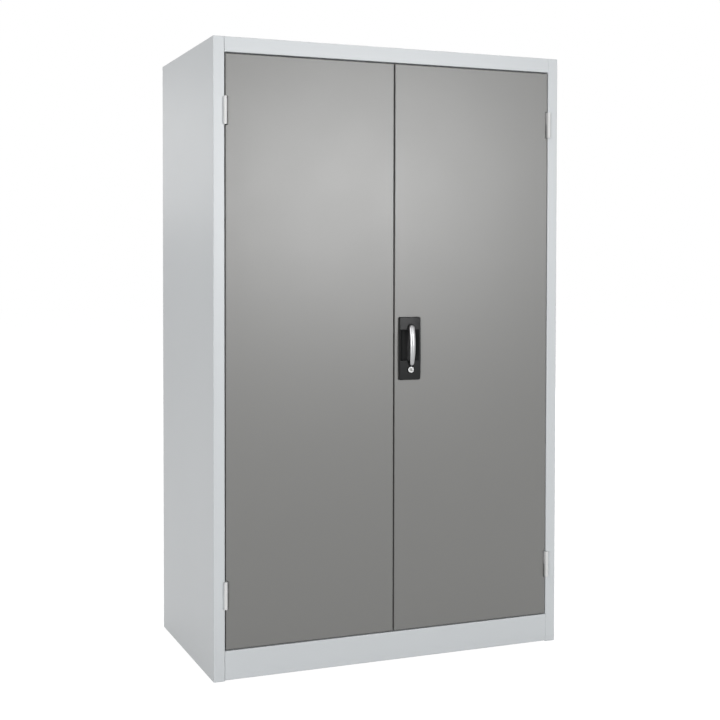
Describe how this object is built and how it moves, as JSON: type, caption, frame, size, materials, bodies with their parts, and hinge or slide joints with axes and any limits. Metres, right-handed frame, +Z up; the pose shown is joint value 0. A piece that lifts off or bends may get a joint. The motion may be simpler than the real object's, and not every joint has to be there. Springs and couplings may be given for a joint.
{
  "type": "heavy-duty drawer cabinet",
  "caption": "Tall steel workshop cupboard with two hinged doors, a three-point lever lock, adjustable shelves and drawers behind the doors.",
  "frame": {"origin": "on the floor, under the middle of the outer box with the lever counted in", "axes": "+Z up, +Y from the doors to the rear wall, +X to the right when facing the doors"},
  "size_m": [1.2, 0.63, 1.95],
  "materials": {
    "carcass_paint": "light grey powder coat",
    "door_paint": "mid grey powder coat",
    "hinge_paint": "light grey paint over steel",
    "zinc_steel": "bright zinc plate",
    "lever_chrome": "satin chrome",
    "black_plastic": "fine moulded grain",
    "pull_aluminium": "anodised",
    "buffer_rubber": "soft black",
    "magnet": "white moulded case"
  },
  "bodies": {
    "root": {"back_panel": "carcass_paint", "door_buffers": "buffer_rubber", "drawer_1_front": "carcass_paint", "drawer_1_tray": "carcass_paint", "drawer_2_front": "carcass_paint", "drawer_2_tray": "carcass_paint", "drawer_3_front": "carcass_paint", "drawer_3_tray": "carcass_paint", "drawer_cheek_left": "carcass_paint", "drawer_cheek_right": "carcass_paint", "drawer_pulls": "pull_aluminium", "drawer_slides_fixed": "zinc_steel", "drawer_slides_moving": "zinc_steel", "floor_panel": "carcass_paint", "foot_plates": "carcass_paint", "hinge_left_lower_frame_half": "hinge_paint", "hinge_left_upper_frame_half": "hinge_paint", "hinge_pins": "zinc_steel", "hinge_right_lower_frame_half": "hinge_paint", "hinge_right_upper_frame_half": "hinge_paint", "magnet_catches": "magnet", "plinth_rail": "carcass_paint", "rear_plinth": "carcass_paint", "shelf_1": "carcass_paint", "shelf_2": "carcass_paint", "shelf_3": "carcass_paint", "shelf_4": "carcass_paint", "shelf_brackets": "zinc_steel", "side_panel_left": "carcass_paint", "side_panel_right": "carcass_paint", "top_panel": "carcass_paint", "top_rail": "carcass_paint", "upright_left_front": "carcass_paint", "upright_left_rear": "carcass_paint", "upright_right_front": "carcass_paint", "upright_right_rear": "carcass_paint"},
    "door_left": {"catch_strikes": "zinc_steel", "door_left": "door_paint", "door_left_cover_strip": "door_paint", "door_left_stiffener": "door_paint", "hinge_left_lower_door_half": "hinge_paint", "hinge_left_upper_door_half": "hinge_paint"},
    "door_right": {"door_right": "door_paint", "door_right_stiffener": "door_paint", "handle_frame": "zinc_steel", "handle_housing": "black_plastic", "handle_screws": "zinc_steel", "hinge_right_lower_door_half": "hinge_paint", "hinge_right_upper_door_half": "hinge_paint", "lock_cylinder": "lever_chrome", "rod_guides": "black_plastic"},
    "handle": {"handle_lever": "lever_chrome", "handle_rotor": "zinc_steel", "handle_spindle": "zinc_steel"},
    "rod_upper": {"lock_rod_upper": "zinc_steel"},
    "rod_lower": {"lock_rod_lower": "zinc_steel"},
    "lock_plug": {"lock_plug": "lever_chrome", "lock_tongue": "zinc_steel"}
  },
  "joints": [
    {"name": "door_left_swing", "type": "hinge", "parent": "root", "child": "door_left", "pos_m": [-0.5635, -0.291, 0.996], "axis": [0, 0, -1], "range_deg": [0, 180]},
    {"name": "door_right_swing", "type": "hinge", "parent": "root", "child": "door_right", "pos_m": [0.5635, -0.291, 0.996], "axis": [0, 0, 1], "range_deg": [0, 180]},
    {"name": "handle_turn", "type": "hinge", "parent": "door_right", "child": "handle", "pos_m": [0.054, -0.3, 1.064], "axis": [0, -1, 0], "range_deg": [0, 90]},
    {"name": "rod_upper_slide", "type": "slide", "parent": "door_right", "child": "rod_upper", "axis": [0, 0, -1], "range_m": [0, 0.015]},
    {"name": "rod_lower_slide", "type": "slide", "parent": "door_right", "child": "rod_lower", "axis": [0, 0, 1], "range_m": [0, 0.015]},
    {"name": "lock_plug_turn", "type": "hinge", "parent": "door_right", "child": "lock_plug", "pos_m": [0.054, -0.298, 0.931], "axis": [0, -1, 0], "range_deg": [0, 90]}
  ],
  "couplings": [
    {"joint": "rod_upper_slide", "follows": "handle_turn", "m_per_rad": 0.009549},
    {"joint": "rod_lower_slide", "follows": "handle_turn", "m_per_rad": 0.009549}
  ]
}
